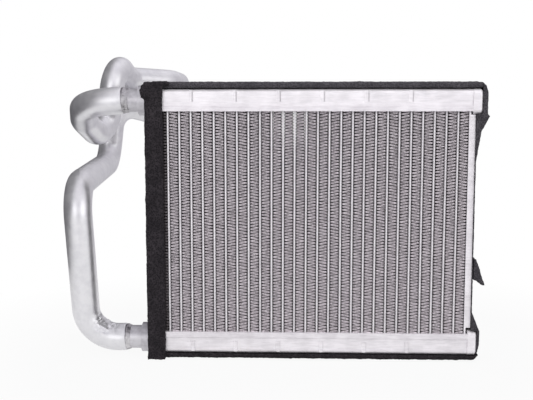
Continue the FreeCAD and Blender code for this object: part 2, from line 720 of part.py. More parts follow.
def make_patch(name):
    """A loose piece of foam that peels off the right seal, its lower end leaning outwards."""
    root = f"({PLATE_OUTER} + Sizes.seal_right)"
    lean = "Sizes.patch_long * tan(Sizes.patch_tilt)"
    body = doc.addObject("PartDesign::Body", name)
    sketch = sketch_on(body, "XZ_Plane", name + "Outline")
    outline(sketch, [
        (root, "Sizes.patch_height + 0.2 * Sizes.patch_long"),
        (f"{root} + Sizes.patch_thick", "Sizes.patch_height + 0.16 * Sizes.patch_long"),
        (f"{root} + {lean} - Sizes.patch_thick", "Sizes.patch_height"),
        (f"{root} + {lean}", "Sizes.patch_height"),
        (f"{root} + 0.8 * Sizes.patch_thick", "Sizes.patch_height + Sizes.patch_long"),
        (root, "Sizes.patch_height + Sizes.patch_long"),
    ])
    bind(sketch, AttachmentOffset__Base__z=f"{TANK_HALF} - Sizes.patch_wide")
    pad(body, sketch, name + "Strip", "Sizes.patch_wide")
    keep(body, name)


def check_and_write():
    """Check every object and sub-part, and write one file for each sub-part."""
    doc.recompute()
    for item in doc.Objects:
        if "Invalid" in item.State or "Error" in item.State:
            raise RuntimeError(f"{item.Name} failed: {item.State}")
    os.makedirs("parts", exist_ok=True)
    for item in subparts:
        if item.Shape.isNull() or not item.Shape.isValid() or not item.Shape.Solids:
            raise RuntimeError(f"{item.Label} has no valid solid")
        item.Shape.exportStep(f"parts/{item.Label}.step")
    print(f"{len(subparts)} sub-parts written")


make_tubes()
make_fins()
make_side_plate(-1, "left_side_plate")
make_side_plate(1, "right_side_plate")
make_header(1, "top_header_plate")
make_header(-1, "bottom_header_plate")
make_cover(1, "top_tank_cover")
make_cover(-1, "bottom_tank_cover")
make_cap(-1, 1, "top_left_end_cap", bored=True)
make_cap(1, 1, "top_right_end_cap", bored=False)
make_cap(-1, -1, "bottom_left_end_cap", bored=True)
make_cap(1, -1, "bottom_right_end_cap", bored=False)
make_neck(f"{CORE_TOP} + Sizes.tank_high / 2", "upper_pipe_neck")
make_neck("Sizes.seal_base + Sizes.tank_high / 2", "lower_pipe_neck")
make_upper_pipe()
make_lower_pipe()
make_flat_seal(1, "top_foam_strip")
make_flat_seal(-1, "bottom_foam_strip")
make_left_seal("left_foam_strip")
make_right_seal("right_foam_strip")
make_patch("loose_foam_patch")
check_and_write()
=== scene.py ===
"""Heater core with two bent aluminium pipes and a black foam edge, dressed over its frame."""

import logging
import math
import random
from contextlib import contextmanager
from dataclasses import dataclass, field
from enum import Enum
from typing import Any, Callable, Iterator

import bmesh
import bpy
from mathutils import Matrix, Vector

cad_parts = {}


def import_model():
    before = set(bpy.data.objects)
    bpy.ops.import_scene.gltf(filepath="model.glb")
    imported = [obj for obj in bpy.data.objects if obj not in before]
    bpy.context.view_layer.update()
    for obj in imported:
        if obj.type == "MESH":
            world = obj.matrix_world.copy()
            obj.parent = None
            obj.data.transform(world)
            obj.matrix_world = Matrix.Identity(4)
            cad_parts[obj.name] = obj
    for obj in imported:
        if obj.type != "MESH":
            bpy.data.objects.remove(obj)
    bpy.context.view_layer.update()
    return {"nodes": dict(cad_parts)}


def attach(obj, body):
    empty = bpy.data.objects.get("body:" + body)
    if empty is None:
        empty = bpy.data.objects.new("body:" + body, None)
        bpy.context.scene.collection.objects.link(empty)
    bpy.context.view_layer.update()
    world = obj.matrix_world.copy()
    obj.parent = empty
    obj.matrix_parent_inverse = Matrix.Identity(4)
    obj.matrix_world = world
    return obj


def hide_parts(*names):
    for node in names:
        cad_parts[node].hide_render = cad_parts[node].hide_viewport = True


# Sizes are in millimetres unless their comment or docstring says metres.
MM = 0.001
# In metres: vertices that lie closer than this are one.
MERGE = 0.01 * MM
SMOOTH_UP_TO = math.radians(40)
CORE_DEEP = 25.0
TUBE_PITCH = 7.75
PIPE_OUTER = 19.0
NECK_OUTER = 16.0
NECK_END_X = -129.225
UPPER_NECK_Z = 177.2
LOWER_NECK_Z = 11.7
PIPE_END_Y = 205.0
WHITE = (1.0, 1.0, 1.0, 1.0)

Point = tuple[float, float, float]
Colour = tuple[float, float, float, float]

log = logging.getLogger("heater_core")


class Slot(Enum):
    """Material slots of the record."""

    TUBE = "aluminium_tube"
    FIN = "aluminium_fin"
    SHEET = "aluminium_sheet"
    PIPE = "aluminium_pipe"
    FOAM = "black_foam"


class Pick(Enum):
    """What is selected in edit mode."""

    VERTS = "VERT"
    FACES = "FACE"


def linear(code: str) -> Colour:
    """Turn an sRGB hex colour into linear red, green, blue and alpha.

    Args:
        code: Six hex digits with a leading hash sign.

    Returns:
        The linear colour with alpha 1.
    """
    values = [int(code[place:place + 2], 16) / 255 for place in (1, 3, 5)]
    turned = [v / 12.92 if v <= 0.04045 else ((v + 0.055) / 1.055) ** 2.4 for v in values]
    return (turned[0], turned[1], turned[2], 1.0)


def add_node(tree: bpy.types.NodeTree, kind: str, settings: dict[str | int, Any] | None = None,
             links: dict[str | int, bpy.types.NodeSocket] | None = None) -> bpy.types.Node:
    """Add a shader node with its settings and incoming links.

    Args:
        tree: The node tree that gets the node.
        kind: The node's Blender type name.
        settings: Property names, or input names and numbers, with their values.
        links: Input names or numbers, each with the output socket that feeds it.

    Returns:
        The new node.
    """
    node = tree.nodes.new(kind)
    for name, value in (settings or {}).items():
        if isinstance(name, str) and hasattr(node, name):
            setattr(node, name, value)
        else:
            node.inputs[name].default_value = value
    for name, output in (links or {}).items():
        tree.links.new(output, node.inputs[name])
    return node


def new_material(name: str) -> tuple[bpy.types.Material, bpy.types.NodeTree]:
    """Start an empty node material.

    Args:
        name: The material's name.

    Returns:
        The material and its cleared node tree.
    """
    material = bpy.data.materials.new(name)
    material.use_nodes = True
    material.node_tree.nodes.clear()
    return material, material.node_tree


@dataclass(frozen=True)
class MilledAluminium:
    """Rolled, drawn or brazed aluminium: satin gloss, fine marks from making and dull flux haze."""

    name: str
    light: str
    dark: str
    roughness: float
    mark_mm: float
    mark_stretch: Point
    mark_depth_mm: float
    bare: float = 1.0
    haze_mm: float = 12.0
    dark_below: float = 0.75
    light_above: float = 1.2
    keener: float = 0.06
    duller: float = 0.08

    def build(self) -> bpy.types.Material:
        """Build the node material.

        Returns:
            The finished material.
        """
        material, tree = new_material(self.name)
        place = add_node(tree, "ShaderNodeTexCoord").outputs["Object"]
        along = add_node(tree, "ShaderNodeMapping", {"Scale": self.mark_stretch}, {"Vector": place})
        marks = add_node(
            tree, "ShaderNodeTexNoise",
            {"Scale": 1 / (self.mark_mm * MM), "Detail": 4.0, "Roughness": 0.6},
            {"Vector": along.outputs["Vector"]},
        )
        # Flux haze left by the brazing oven lies in soft patches.
        haze = add_node(
            tree, "ShaderNodeTexNoise",
            {"Scale": 1 / (self.haze_mm * MM), "Detail": 3.0, "Roughness": 0.55},
            {"Vector": place},
        )
        both = add_node(
            tree, "ShaderNodeMath", {"operation": "ADD"},
            {0: haze.outputs["Fac"], 1: marks.outputs["Fac"]},
        )
        tone = add_node(
            tree, "ShaderNodeMapRange",
            {"From Min": self.dark_below, "From Max": self.light_above},
            {"Value": both.outputs["Value"]},
        )
        colour = add_node(
            tree, "ShaderNodeMix",
            {"data_type": "RGBA", 6: linear(self.dark), 7: linear(self.light)},
            {0: tone.outputs["Result"]},
        )
        gloss = add_node(
            tree, "ShaderNodeMapRange",
            {
                "From Min": 0.25, "From Max": 0.75,
                "To Min": self.roughness - self.keener, "To Max": self.roughness + self.duller,
            },
            {"Value": marks.outputs["Fac"]},
        )
        bump = add_node(
            tree, "ShaderNodeBump", {"Strength": 0.6, "Distance": self.mark_depth_mm * MM},
            {"Height": marks.outputs["Fac"]},
        )
        shader = add_node(
            tree, "ShaderNodeBsdfPrincipled", {"Metallic": self.bare},
            {
                "Base Color": colour.outputs[2],
                "Roughness": gloss.outputs["Result"],
                "Normal": bump.outputs["Normal"],
            },
        )
        add_node(tree, "ShaderNodeOutputMaterial", None, {"Surface": shader.outputs["BSDF"]})
        return material


@dataclass(frozen=True)
class DepthShadedFoil:
    """Fin foil: light, patchy front and back edges and dull metal between, painted darker deeper in
    the core, at the folds' ends and beside the left strip, as painted shade.
    """

    name: str
    # Light is the foil at its open edges; dark is painted shade deeper in the core.
    light: str
    dark: str
    # Painted shade at the folds' ends beside the tubes.
    fold_end_shade: str
    # Painted shadow beside the left strip.
    foam_shadow: str
    # How far the lit edges reach into the core, and their least share where the grain is low.
    lit_edge_mm: float = 4.5
    grain_mm: float = 1.3
    thin_lit_edge: float = 0.45
    crest_start_mm: float = 2.0
    crest_full_mm: float = 2.75
    crest_show: float = 0.25
    # Where the painted shadow beside the left strip fades out, in X.
    foam_shadowy_x_mm: float = -99.5
    lit_side_x_mm: float = -95.2
    bare: float = 0.25
    roughness: float = 0.5

    def build(self) -> bpy.types.Material:
        """Build the node material.

        Returns:
            The finished material.
        """
        material, tree = new_material(self.name)
        place = add_node(tree, "ShaderNodeTexCoord").outputs["Object"]
        axes = add_node(tree, "ShaderNodeSeparateXYZ", None, {"Vector": place})
        depth = add_node(tree, "ShaderNodeMath", {"operation": "ABSOLUTE"}, {0: axes.outputs["Y"]})
        # The foil is painted darker deeper in the core, as painted shade between the folds; only
        # the front and back edges keep the light colour.
        lit_edge = add_node(
            tree, "ShaderNodeMapRange",
            {
                "From Min": (CORE_DEEP / 2 - self.lit_edge_mm) * MM,
                "From Max": CORE_DEEP / 2 * MM,
            },
            {"Value": depth.outputs["Value"]},
        )
        grain = add_node(
            tree, "ShaderNodeTexNoise", {"Scale": 1 / (self.grain_mm * MM), "Detail": 3.0},
            {"Vector": place},
        )
        patchy = add_node(
            tree, "ShaderNodeMapRange",
            {"From Min": 0.3, "From Max": 0.6, "To Min": self.thin_lit_edge},
            {"Value": grain.outputs["Fac"]},
        )
        share = add_node(
            tree, "ShaderNodeMath", {"operation": "MULTIPLY"},
            {0: lit_edge.outputs["Result"], 1: patchy.outputs["Result"]},
        )
        colour = add_node(
            tree, "ShaderNodeMix",
            {"data_type": "RGBA", 6: linear(self.dark), 7: linear(self.light)},
            {0: share.outputs["Value"]},
        )
        # The folds' ends beside the tubes are painted darker, as painted shade from the tubes. The
        # middle of a column is at each whole pitch.
        aside = add_node(
            tree, "ShaderNodeMath", {"operation": "PINGPONG", 1: TUBE_PITCH / 2 * MM},
            {0: axes.outputs["X"]},
        )
        open_part = add_node(
            tree, "ShaderNodeMapRange",
            {
                "From Min": self.crest_start_mm * MM, "From Max": self.crest_full_mm * MM,
                "To Min": 1.0, "To Max": self.crest_show,
            },
            {"Value": aside.outputs["Value"]},
        )
        folded = add_node(
            tree, "ShaderNodeMix", {"data_type": "RGBA", 6: linear(self.fold_end_shade)},
            {0: open_part.outputs["Result"], 7: colour.outputs[2]},
        )
        # A painted shadow darkens the foil beside the left strip, where the foam overlaps it.
        lit_side = add_node(
            tree, "ShaderNodeMapRange",
            {"From Min": self.foam_shadowy_x_mm * MM, "From Max": self.lit_side_x_mm * MM},
            {"Value": axes.outputs["X"]},
        )
        foam_shaded = add_node(
            tree, "ShaderNodeMix", {"data_type": "RGBA", 6: linear(self.foam_shadow)},
            {0: lit_side.outputs["Result"], 7: folded.outputs[2]},
        )
        shader = add_node(
            tree, "ShaderNodeBsdfPrincipled",
            {"Metallic": self.bare, "Roughness": self.roughness},
            {"Base Color": foam_shaded.outputs[2]},
        )
        add_node(tree, "ShaderNodeOutputMaterial", None, {"Surface": shader.outputs["BSDF"]})
        return material


@dataclass(frozen=True)
class OpenCellFoam:
    """Open-cell polyurethane foam: matt near-black, with small cells whose hollows are painted
    darker, as painted shade.
    """

    name: str
    light: str
    dark: str
    cell_mm: float
    cell_depth_mm: float = 0.4
    patch_mm: float = 7.0
    roughness: float = 0.92
    sheen: float = 0.25

    def build(self) -> bpy.types.Material:
        """Build the node material.

        Returns:
            The finished material.
        """
        material, tree = new_material(self.name)
        place = add_node(tree, "ShaderNodeTexCoord").outputs["Object"]
        cells = add_node(
            tree, "ShaderNodeTexVoronoi", {"Scale": 1 / (self.cell_mm * MM)}, {"Vector": place},
        )
        patches = add_node(
            tree, "ShaderNodeTexNoise", {"Scale": 1 / (self.patch_mm * MM), "Detail": 3.0},
            {"Vector": place},
        )
        # The cells' hollows are painted darker than their rims, as painted shade; the patches vary
        # the tone at random.
        cell_rim = add_node(
            tree, "ShaderNodeMapRange", {"From Min": 0.15, "From Max": 0.75},
            {"Value": cells.outputs["Distance"]},
        )
        shade = add_node(
            tree, "ShaderNodeMath", {"operation": "MULTIPLY"},
            {0: cell_rim.outputs["Result"], 1: patches.outputs["Fac"]},
        )
        colour = add_node(
            tree, "ShaderNodeMix",
            {"data_type": "RGBA", 6: linear(self.dark), 7: linear(self.light)},
            {0: shade.outputs["Value"]},
        )
        bump = add_node(
            tree, "ShaderNodeBump", {"Strength": 0.8, "Distance": self.cell_depth_mm * MM},
            {"Height": cells.outputs["Distance"]},
        )
        shader = add_node(
            tree, "ShaderNodeBsdfPrincipled",
            {"Roughness": self.roughness, "Specular IOR Level": self.sheen},
            {"Base Color": colour.outputs[2], "Normal": bump.outputs["Normal"]},
        )
        add_node(tree, "ShaderNodeOutputMaterial", None, {"Surface": shader.outputs["BSDF"]})
        return material


ALONG_X = (0.12, 1.0, 1.0)
ALONG_Z = (1.0, 1.0, 0.15)
EVEN = (1.0, 1.0, 1.0)
BROAD = (0.5, 0.5, 0.5)
# Brazed core sheet: near-white satin with haze; its marks run along the tank.
SHEET = MilledAluminium(
    "Brazed aluminium sheet", "#f9f5f9", "#e2dee2", 0.42, 1.2, ALONG_X, 0.03, 0.5,
)
# Header plates: the same sheet with more haze, so that their rims show against the covers.
HEADER = MilledAluminium(
    "Clad header sheet", "#f4f0f4", "#dad5da", 0.46, 1.2, ALONG_X, 0.04, 0.5,
)
# Extruded flat tubes: bright edges with marks along their height.
TUBE = MilledAluminium(
    "Extruded aluminium tube", "#f8f5f8", "#e6e2e6", 0.40, 1.0, ALONG_Z, 0.02, 0.5,
)
# Fin foil: thin rolled strip, white on its open edges and dull between the tubes, with painted
# shade deeper in the core and at the folds' ends, and a painted shadow beside the left strip.
FOIL = DepthShadedFoil("Rolled aluminium foil", "#ebe2e8", "#544d51", "#2b2629", "#4c4649")
# Drawn pipe: satin, so that it mirrors its neighbours softly.
PIPE = MilledAluminium(
    "Drawn aluminium pipe", "#f5f4f7", "#e9e8ec", 0.34, 3.0, BROAD, 0.002, 0.8,
)
# Turned neck: duller than the pipe.
NECK = MilledAluminium(
    "Turned aluminium neck", "#dddbe0", "#b4b1b7", 0.38, 2.4, BROAD, 0.01, 0.8,
)
# Braze metal round a pipe's end: dull, grainy and darker than the pipe.
BRAZE = MilledAluminium("Brazing alloy", "#e4e2e5", "#8f8c90", 0.42, 2.6, EVEN, 0.2)
# Foam that is out of the light: near-black, with no shine.
FOAM = OpenCellFoam("Black polyurethane foam", "#403b3f", "#151316", 1.1)
# Foam in the light: the same foam painted greyer, as painted light, with finer cells.
LIT_FOAM = OpenCellFoam("Lit polyurethane foam", "#5e5b60", "#29272b", 0.9)


def deselect_everything() -> None:
    """Leave edit mode if it is on, and deselect every object."""
    if bpy.context.object is not None and bpy.context.object.mode != "OBJECT":
        bpy.ops.object.mode_set(mode="OBJECT")
    bpy.ops.object.select_all(action="DESELECT")


def select_only(piece: bpy.types.Object) -> None:
    """Make the piece the active object and the only one selected."""
    deselect_everything()
    piece.select_set(True)
    bpy.context.view_layer.objects.active = piece


@contextmanager
def edit_mode(piece: bpy.types.Object) -> Iterator[None]:
    """Edit the piece's mesh for as long as the block runs.

    Args:
        piece: The mesh object to edit.

    Yields:
        Nothing; the block works with operators.
    """
    select_only(piece)
    bpy.ops.object.mode_set(mode="EDIT")
    yield
    bpy.ops.object.mode_set(mode="OBJECT")


def select_elements(piece: bpy.types.Object, pick: Pick,
                    test: Callable[[bmesh.types.BMVert | bmesh.types.BMFace], bool]) -> None:
    """Select the vertices or faces that pass the test, and nothing else, in edit mode.

    Args:
        piece: The object in edit mode.
        pick: Whether vertices or faces are selected.
        test: Says whether an element is selected.
    """
    bpy.ops.mesh.select_mode(type=pick.value)
    bpy.ops.mesh.select_all(action="DESELECT")
    mesh = bmesh.from_edit_mesh(piece.data)
    for element in mesh.verts if pick is Pick.VERTS else mesh.faces:
        if test(element):
            element.select_set(True)
    mesh.select_flush_mode()
    bmesh.update_edit_mesh(piece.data)


def apply_modifier(piece: bpy.types.Object, kind: str, settings: dict[str, Any]) -> None:
    """Add a modifier with its settings and apply it.

    Args:
        piece: The mesh object.
        kind: The modifier's Blender type name.
        settings: Property names and values.
    """
    select_only(piece)
    modifier = piece.modifiers.new(kind.title(), kind)
    for name, value in settings.items():
        setattr(modifier, name, value)
    bpy.ops.object.modifier_apply(modifier=modifier.name)


def place_in_mesh(piece: bpy.types.Object) -> None:
    """Move the object's place, turn and scale into its mesh."""
    select_only(piece)
    bpy.ops.object.transform_apply(location=True, rotation=True, scale=True)


def add_block(middle: Vector, size: Vector, turn: float = 0.0) -> bpy.types.Object:
    """Add a plain block to shape further.

    Args:
        middle: The block's middle in metres.
        size: Its length along each axis in metres.
        turn: Its turn about the depth axis in radians.

    Returns:
        The block as an object.
    """
    deselect_everything()
    bpy.ops.mesh.primitive_cube_add(size=1.0, location=middle, rotation=(0, turn, 0))
    block = bpy.context.object
    block.scale = size
    place_in_mesh(block)
    return block


def close_shell() -> None:
    """Merge the doubles of the mesh in edit mode and turn its faces outwards."""
    bpy.ops.mesh.select_all(action="SELECT")
    bpy.ops.mesh.remove_doubles(threshold=MERGE)
    bpy.ops.mesh.normals_make_consistent(inside=False)


def copy_of(piece: bpy.types.Object, name: str) -> bpy.types.Object:
    """Copy an object with a mesh of its own.

    Args:
        piece: The object to copy.
        name: The copy's name.

    Returns:
        The copy, linked to the scene.
    """
    twin = piece.copy()
    twin.data = piece.data.copy()
    twin.name = name
    twin.data.name = name
    bpy.context.scene.collection.objects.link(twin)
    return twin


def hand_over(piece: bpy.types.Object, name: str, material: bpy.types.Material,
              nodes: tuple[str, ...] = ()) -> bpy.types.Object:
    """Name a finished piece, give it its material and tie it to the frame.

    Args:
        piece: The finished object.
        name: Its name.
        material: Its material.
        nodes: CAD nodes that it stands for.

    Returns:
        The same object.
    """
    place_in_mesh(piece)
    piece.name = name
    piece.data.name = name
    piece.data.materials.clear()
    piece.data.materials.append(material)
    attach(piece, "root")
    if nodes:
        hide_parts(*nodes)
    return piece


@dataclass
class FinPack:
    """Folded foil between the flat tubes: one fold is modelled, stacked into a column and copied.

    A half fold climbs by the shares of a crest, two bevels and a leg, which are half a pitch.
    """

    material: bpy.types.Material
    columns: int = 27
    fin_wide: float = 6.35
    first_left: float = -103.925
    low: float = 19.2
    high: float = 169.7
    folds: int = 75
    foil: float = 0.40
    crest_bevel: float = 0.4
    crest_share: float = 0.12
    bevel_share: float = 0.08
    leg_share: float = 0.22
    strips: int = 6
    louvre_tilt: float = 26.0
    near_middle: float = 0.5
    unevenness: float = 0.14
    seed: int = 11

    def pitch(self) -> float:
        """Height of one full fold in millimetres."""
        return (self.high - self.low) / self.folds

    def model_fold(self) -> bpy.types.Object:
        """Model one fold with louvred legs, its left crest at X zero and its foot at Z zero.

        Returns:
            The fold as an object of open sheet.
        """
        deselect_everything()
        deep = CORE_DEEP * MM
        bpy.ops.mesh.primitive_plane_add(size=deep, location=(deep / 2, 0, 0))
        fold = bpy.context.object
        place_in_mesh(fold)
        bevel = self.crest_bevel * MM
        run = (self.fin_wide - self.foil) * MM - 2 * bevel
        with edit_mode(fold):
            select_elements(fold, Pick.VERTS, lambda vert: vert.co.x > deep / 2)
            bpy.ops.mesh.delete(type="VERT")
            bpy.ops.mesh.select_all(action="SELECT")
            bpy.ops.transform.translate(value=(self.foil / 2 * MM, 0, 0))
            bpy.ops.mesh.subdivide(number_cuts=self.strips - 1)
            for side in (1, -1):
                for across, share in (
                    (0, self.crest_share), (bevel, self.bevel_share),
                    (run, self.leg_share), (bevel, self.bevel_share),
                ):
                    bpy.ops.mesh.extrude_region_move(TRANSFORM_OT_translate={
                        "value": (side * across, 0, share * self.pitch() * MM),
                    })
        self.tilt_louvres(fold)
        return fold

    def tilt_louvres(self, fold: bpy.types.Object) -> None:
        """Cut the inner strips of both legs free and tilt each about its own middle.

        Args:
            fold: The fold to louvre.
        """
        edge = (CORE_DEEP / 2 - CORE_DEEP / self.strips) * MM
        middle = self.fin_wide / 2 * MM

        def is_louvre(face: bmesh.types.BMFace) -> bool:
            """Say whether a face is one of a leg's inner strips."""
            centre = face.calc_center_median()
            return abs(centre.x - middle) < self.near_middle * MM and abs(centre.y) < edge

        with edit_mode(fold):
            select_elements(fold, Pick.FACES, is_louvre)
            bpy.ops.mesh.edge_split(type="EDGE")
            mesh = bmesh.from_edit_mesh(fold.data)
            centres = [face.calc_center_median().copy() for face in mesh.faces if is_louvre(face)]
            for centre in centres:
                select_elements(
                    fold, Pick.FACES,
                    lambda face: (face.calc_center_median() - centre).length < MERGE,
                )
                bpy.ops.transform.rotate(
                    value=math.radians(self.louvre_tilt) * (1 if centre.y > 0 else -1),
                    orient_axis="X", center_override=centre,
                )

    def press_flat(self, column: bpy.types.Object, level: float, side: int) -> None:
        """Press the foil beyond a header plate flat against it, in edit mode.

        Args:
            column: The column in edit mode.
            level: Height of the header plate in metres.
            side: 1 to press down what is above the level, -1 to press up what is below.
        """
        select_elements(column, Pick.VERTS, lambda vert: (vert.co.z - level) * side > 0)
        bpy.ops.transform.resize(value=(1, 1, 0), center_override=(0, 0, level))

    def copy_column(self, column: bpy.types.Object, number: int, sunk: float) -> bpy.types.Object:
        """Copy the column to its place between two tubes, with an unevenness of its own.

        Args:
            column: The column to copy.
            number: The place of the copy, counted from 1 at the left.
            sunk: How far its first fold starts below the bottom header plate, in millimetres.

        Returns:
            The copy, trimmed at both header plates and as thick as the foil.
        """
        twin = copy_of(column, f"column_{number:02d}")
        left = self.first_left + (number - 1) * TUBE_PITCH
        twin.location = (left * MM, 0, (self.low - sunk) * MM)
        place_in_mesh(twin)
        with edit_mode(twin):
            bpy.ops.mesh.select_all(action="SELECT")
            bpy.ops.transform.vertex_random(offset=self.unevenness * MM, seed=number, normal=0.0)
            self.press_flat(twin, self.low * MM, -1)
            self.press_flat(twin, self.high * MM, 1)
        apply_modifier(twin, "SOLIDIFY", {"thickness": self.foil * MM, "offset": 0.0})
        return twin

    def build(self) -> list[bpy.types.Object]:
        """Build every column, two to a piece as in the frame.

        Returns:
            The finished pieces.
        """
        column = self.model_fold()
        apply_modifier(column, "ARRAY", {
            "count": self.folds + 1,
            "use_relative_offset": False,
            "use_constant_offset": True,
            "constant_offset_displace": (0, 0, self.pitch() * MM),
            "use_merge_vertices": True,
            "merge_threshold": MERGE,
        })
        dice = random.Random(self.seed)
        pieces = []
        for first in range(1, self.columns + 1, 2):
            pair = [number for number in (first, first + 1) if number <= self.columns]
            twins = [self.copy_column(column, n, dice.random() * self.pitch()) for n in pair]
            select_only(twins[0])
            if len(twins) > 1:
                twins[1].select_set(True)
                bpy.ops.object.join()
            tag = "_".join(f"{number:02d}" for number in pair)
            pieces.append(hand_over(
                twins[0], f"folded_foil_{tag}", self.material, (f"fin_strips_{tag}",),
            ))
        bpy.data.objects.remove(column)
        return pieces


@dataclass
class BentPipe:
    """A drawn pipe along straight runs and tangent bends, made by extruding and spinning a ring."""

    name: str
    node: str
    corners: tuple[Point, ...]
    radii: tuple[float, ...]
    material: bpy.types.Material
    wrinkled: Point | None = None
    wrinkle_reach: float = 9.0
    wrinkle_depth: float = 0.6
    wrinkle_seed: int = 3
    wall: float = 1.2
    around: int = 48
    step_degrees: float = 4.5
    lip: float = 0.35
    lip_degrees: float = 60.0

    def start_ring(self, start: Vector, heading: Vector) -> bpy.types.Object:
        """Put an open ring of vertices at the pipe's start, square to its heading.

        Args:
            start: Centre of the ring in metres.
            heading: Unit vector along the first run.

        Returns:
            The ring as an object.
        """
        deselect_everything()
        bpy.ops.mesh.primitive_circle_add(
            vertices=self.around, radius=PIPE_OUTER / 2 * MM, fill_type="NOTHING",
            location=start, rotation=heading.to_track_quat("Z", "Y").to_euler(),
        )
        ring = bpy.context.object
        place_in_mesh(ring)
        return ring

    def route(self, points: list[Vector]) -> list[tuple[Vector, Vector, Vector, float, Vector]]:
        """Work out where each bend starts, turns and ends.

        Args:
            points: The pipe's ends and corners in metres.

        Returns:
            For each bend its first point, centre, axis, turn in radians and last point.
        """
        bends = []
        for before, corner, after, radius in zip(points, points[1:], points[2:], self.radii):
            inward = (before - corner).normalized()
            outward = (after - corner).normalized()
            turn = math.pi - inward.angle(outward)
            reach = radius * MM * math.tan(turn / 2)
            middle = (inward + outward).normalized()
            centre = corner + middle * (radius * MM / math.cos(turn / 2))
            first = corner + inward * reach
            axis = (first - centre).cross(-inward).normalized()
            bends.append((first, centre, axis, turn, corner + outward * reach))
        return bends

    def build(self) -> bpy.types.Object:
        """Build the pipe with its wall and its softened open ends.

        Returns:
            The finished piece.
        """
        points = [Vector(corner) * MM for corner in self.corners]
        pipe = self.start_ring(points[0], (points[1] - points[0]).normalized())
        here = points[0]
        with edit_mode(pipe):
            bpy.ops.mesh.select_mode(type="VERT")
            bpy.ops.mesh.select_all(action="SELECT")
            for first, centre, axis, turn, last in self.route(points):
                bpy.ops.mesh.extrude_region_move(TRANSFORM_OT_translate={"value": first - here})
                steps = max(3, round(math.degrees(turn) / self.step_degrees))
                bpy.ops.mesh.spin(steps=steps, angle=-turn, center=centre, axis=axis)
                here = last
            bpy.ops.mesh.extrude_region_move(TRANSFORM_OT_translate={"value": points[-1] - here})
            close_shell()
            if self.wrinkled:
                middle = Vector(self.wrinkled) * MM
                reach = self.wrinkle_reach * MM
                select_elements(pipe, Pick.VERTS, lambda vert: (vert.co - middle).length < reach)
                bpy.ops.transform.vertex_random(
                    offset=self.wrinkle_depth * MM, seed=self.wrinkle_seed, normal=1.0,
                )
        apply_modifier(pipe, "SOLIDIFY", {"thickness": self.wall * MM, "offset": -1.0})
        apply_modifier(pipe, "BEVEL", {
            "width": self.lip * MM, "segments": 2,
            "limit_method": "ANGLE", "angle_limit": math.radians(self.lip_degrees),
        })
        select_only(pipe)
        bpy.ops.object.shade_smooth_by_angle(angle=SMOOTH_UP_TO)
        return hand_over(pipe, self.name, self.material, (self.node,))


@dataclass
class BrazeRing:
    """The uneven ring of braze metal where a neck enters its pipe, drawn out of a circle.

    Its bead gives distances along the neck from the pipe's end, and depths below its crown.
    """

    name: str
    height: float
    long: float
    material: bpy.types.Material
    start: float = NECK_END_X
    bead: tuple[tuple[float, float], ...] = (
        (-0.6, 0.7), (0.3, 0.0), (1.3, 0.2), (2.4, 0.75), (3.4, 1.0),
    )
    crown_depth: float = 0.25
    sink: float = 0.4
    toe: float = 0.2
    around: int = 56
    unevenness: float = 0.28
    seed: int = 5

    def profile(self) -> list[tuple[float, float]]:
        """Give the ring's section as pairs of distance along the neck and radius, in mm."""
        sunk = NECK_OUTER / 2 - self.sink
        crown = PIPE_OUTER / 2 - self.crown_depth
        return [
            (self.bead[0][0], sunk),
            *((along, crown - depth) for along, depth in self.bead),
            (self.long, NECK_OUTER / 2 + self.toe),
            (self.long + self.toe, sunk),
        ]

    def build(self) -> bpy.types.Object:
        """Build the ring.

        Returns:
            The finished piece.
        """
        deselect_everything()
        (first, inner), *others = self.profile()
        bpy.ops.mesh.primitive_circle_add(
            vertices=self.around, radius=inner * MM, fill_type="NOTHING",
            location=Vector((self.start + first, 0, self.height)) * MM,
            rotation=(0, math.radians(90), 0),
        )
        ring = bpy.context.object
        place_in_mesh(ring)
        here, radius = first, inner
        with edit_mode(ring):
            bpy.ops.mesh.select_mode(type="VERT")
            bpy.ops.mesh.select_all(action="SELECT")
            for along, wide in [*others, (first, inner)]:
                bpy.ops.mesh.extrude_region_move(TRANSFORM_OT_translate={
                    "value": ((along - here) * MM, 0, 0),
                })
                bpy.ops.transform.resize(
                    value=(1, wide / radius, wide / radius),
                    center_override=(0, 0, self.height * MM),
                )
                here, radius = along, wide
            close_shell()
            bpy.ops.transform.vertex_random(
                offset=self.unevenness * MM, seed=self.seed, normal=0.5,
            )
        apply_modifier(ring, "SUBSURF", {"levels": 1})
        select_only(ring)
        bpy.ops.object.shade_smooth()
        return hand_over(ring, self.name, self.material)


@dataclass
class PlateTab:
    """A folded tab that carries a side plate's front flange on to the end cap."""

    name: str
    low: Point
    high: Point
    material: bpy.types.Material
    lean: float = 0.3
    edge: float = 0.3

    def build(self) -> bpy.types.Object:
        """Build the tab.

        Returns:
            The finished piece.
        """
        low, high = Vector(self.low) * MM, Vector(self.high) * MM
        tab = add_block((low + high) / 2, high - low)
        with edit_mode(tab):
            # The upper end leans out, as a folded end does.
            select_elements(tab, Pick.VERTS, lambda vert: vert.co.z > (low.z + high.z) / 2)
            bpy.ops.transform.translate(value=(0, -self.lean * MM, 0))
            bpy.ops.mesh.select_all(action="SELECT")
            bpy.ops.mesh.bevel(offset=self.edge * MM, segments=2)
        select_only(tab)
        bpy.ops.object.shade_smooth_by_angle(angle=SMOOTH_UP_TO)
        return hand_over(tab, self.name, self.material)


@dataclass(frozen=True)
class FoamScrap:
    """A scrap of foam that sticks to a strip: where it sits, its size and its turn in degrees."""

    place: Point
    size: Point
    turn: float
    edge: float = 0.8

    def build(self) -> bpy.types.Object:
        """Model the scrap: a block with bevelled edges, turned about the depth axis.

        Returns:
            The scrap as an object.
        """
        block = add_block(
            Vector(self.place) * MM, Vector(self.size) * MM, math.radians(self.turn),
        )
        with edit_mode(block):
            bpy.ops.mesh.select_all(action="SELECT")
            bpy.ops.mesh.bevel(offset=self.edge * MM, segments=2)
        return block


